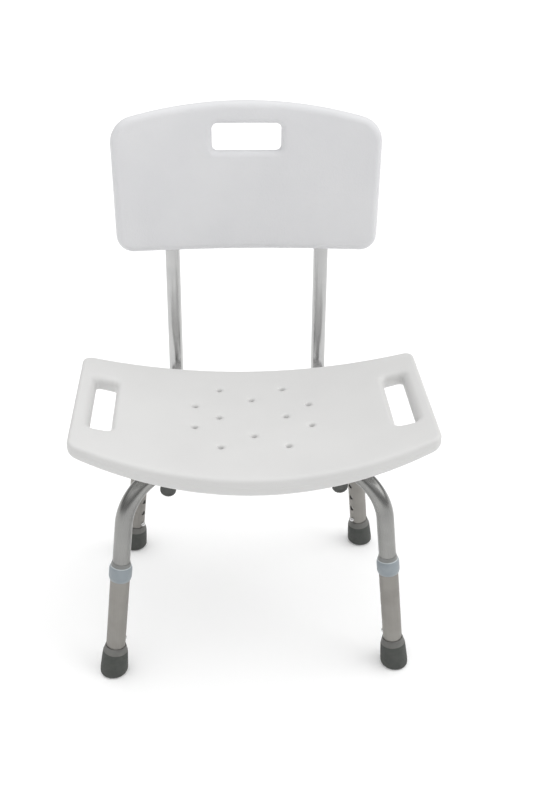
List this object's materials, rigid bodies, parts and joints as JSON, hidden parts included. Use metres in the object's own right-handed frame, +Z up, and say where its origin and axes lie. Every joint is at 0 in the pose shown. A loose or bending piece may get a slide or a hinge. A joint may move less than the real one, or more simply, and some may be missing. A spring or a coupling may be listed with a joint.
{
  "type": "shower stool",
  "caption": "Bath stool: dished seat with side hand holds, backrest on bent posts, and crossed tube frames whose legs telescope on snap buttons.",
  "frame": {"origin": "on the floor, at the centre of the whole stool's box", "axes": "+Z up, -Y the way the sitter faces, +X the sitter's left hand"},
  "size_m": [0.504, 0.4334, 0.7485],
  "materials": {
    "seat_plastic": "smooth satin",
    "backrest_plastic": "leather-like grain",
    "satin_aluminium": "satin anodised",
    "matt_aluminium": "matt anodised",
    "collar_plastic": "satin",
    "foot_rubber": "matt",
    "cap_plastic": "satin",
    "spring_steel": "polished",
    "saddle_plastic": "matt",
    "brass": "knurled",
    "zinc_steel": "zinc plated"
  },
  "bodies": {
    "stool": {"seat_panel": "seat_plastic", "leg_frame_upper": "satin_aluminium", "leg_frame_lower": "satin_aluminium", "crossing_saddle": "saddle_plastic", "crossing_rivet": "zinc_steel", "seat_saddles": "saddle_plastic", "tube_saddles": "saddle_plastic", "bolt_saddles": "saddle_plastic", "seat_bolts": "zinc_steel", "seat_inserts": "brass", "backrest_panel": "backrest_plastic", "backrest_tube_left": "satin_aluminium", "backrest_tube_right": "satin_aluminium", "front_cap_left": "cap_plastic", "front_cap_right": "cap_plastic", "post_caps": "cap_plastic", "backrest_screws": "zinc_steel", "backrest_washers": "zinc_steel", "backrest_inserts": "brass", "leaf_spring_front_left": "spring_steel", "leaf_spring_front_right": "spring_steel", "leaf_spring_back_left": "spring_steel", "leaf_spring_back_right": "spring_steel"},
    "leg_front_left": {"leg_tube_front_left": "matt_aluminium", "leg_collar_front_left": "collar_plastic", "leg_foot_front_left": "foot_rubber", "foot_washer_front_left": "zinc_steel"},
    "button_front_left": {"snap_button_front_left": "spring_steel"},
    "leg_front_right": {"leg_tube_front_right": "matt_aluminium", "leg_collar_front_right": "collar_plastic", "leg_foot_front_right": "foot_rubber", "foot_washer_front_right": "zinc_steel"},
    "button_front_right": {"snap_button_front_right": "spring_steel"},
    "leg_back_left": {"leg_tube_back_left": "matt_aluminium", "leg_collar_back_left": "collar_plastic", "leg_foot_back_left": "foot_rubber", "foot_washer_back_left": "zinc_steel"},
    "button_back_left": {"snap_button_back_left": "spring_steel"},
    "leg_back_right": {"leg_tube_back_right": "matt_aluminium", "leg_collar_back_right": "collar_plastic", "leg_foot_back_right": "foot_rubber", "foot_washer_back_right": "zinc_steel"},
    "button_back_right": {"snap_button_back_right": "spring_steel"}
  },
  "joints": [
    {"name": "leg_slide_front_left", "type": "slide", "parent": "stool", "child": "leg_front_left", "axis": [0.1104, -0.0818, -0.9905], "range_m": [0, 0.1], "deforming": ["snap_button_front_left"]},
    {"name": "button_press_front_left", "type": "slide", "parent": "stool", "child": "button_front_left", "axis": [0.7959, -0.5896, 0.1374], "range_m": [0, 0.0058], "stiffness_N_per_m": 1500, "springref_m": -0.004, "deforming": ["leaf_spring_front_left"]},
    {"name": "leg_slide_front_right", "type": "slide", "parent": "stool", "child": "leg_front_right", "axis": [-0.1104, -0.0818, -0.9905], "range_m": [0, 0.1], "deforming": ["snap_button_front_right"]},
    {"name": "button_press_front_right", "type": "slide", "parent": "stool", "child": "button_front_right", "axis": [-0.7959, -0.5896, 0.1374], "range_m": [0, 0.0058], "stiffness_N_per_m": 1500, "springref_m": -0.004, "deforming": ["leaf_spring_front_right"]},
    {"name": "leg_slide_back_left", "type": "slide", "parent": "stool", "child": "leg_back_left", "axis": [0.1104, 0.0818, -0.9905], "range_m": [0, 0.1], "deforming": ["snap_button_back_left"]},
    {"name": "button_press_back_left", "type": "slide", "parent": "stool", "child": "button_back_left", "axis": [0.7959, 0.5896, 0.1374], "range_m": [0, 0.0058], "stiffness_N_per_m": 1500, "springref_m": -0.004, "deforming": ["leaf_spring_back_left"]},
    {"name": "leg_slide_back_right", "type": "slide", "parent": "stool", "child": "leg_back_right", "axis": [-0.1104, 0.0818, -0.9905], "range_m": [0, 0.1], "deforming": ["snap_button_back_right"]},
    {"name": "button_press_back_right", "type": "slide", "parent": "stool", "child": "button_back_right", "axis": [-0.7959, 0.5896, 0.1374], "range_m": [0, 0.0058], "stiffness_N_per_m": 1500, "springref_m": -0.004, "deforming": ["leaf_spring_back_right"]}
  ]
}
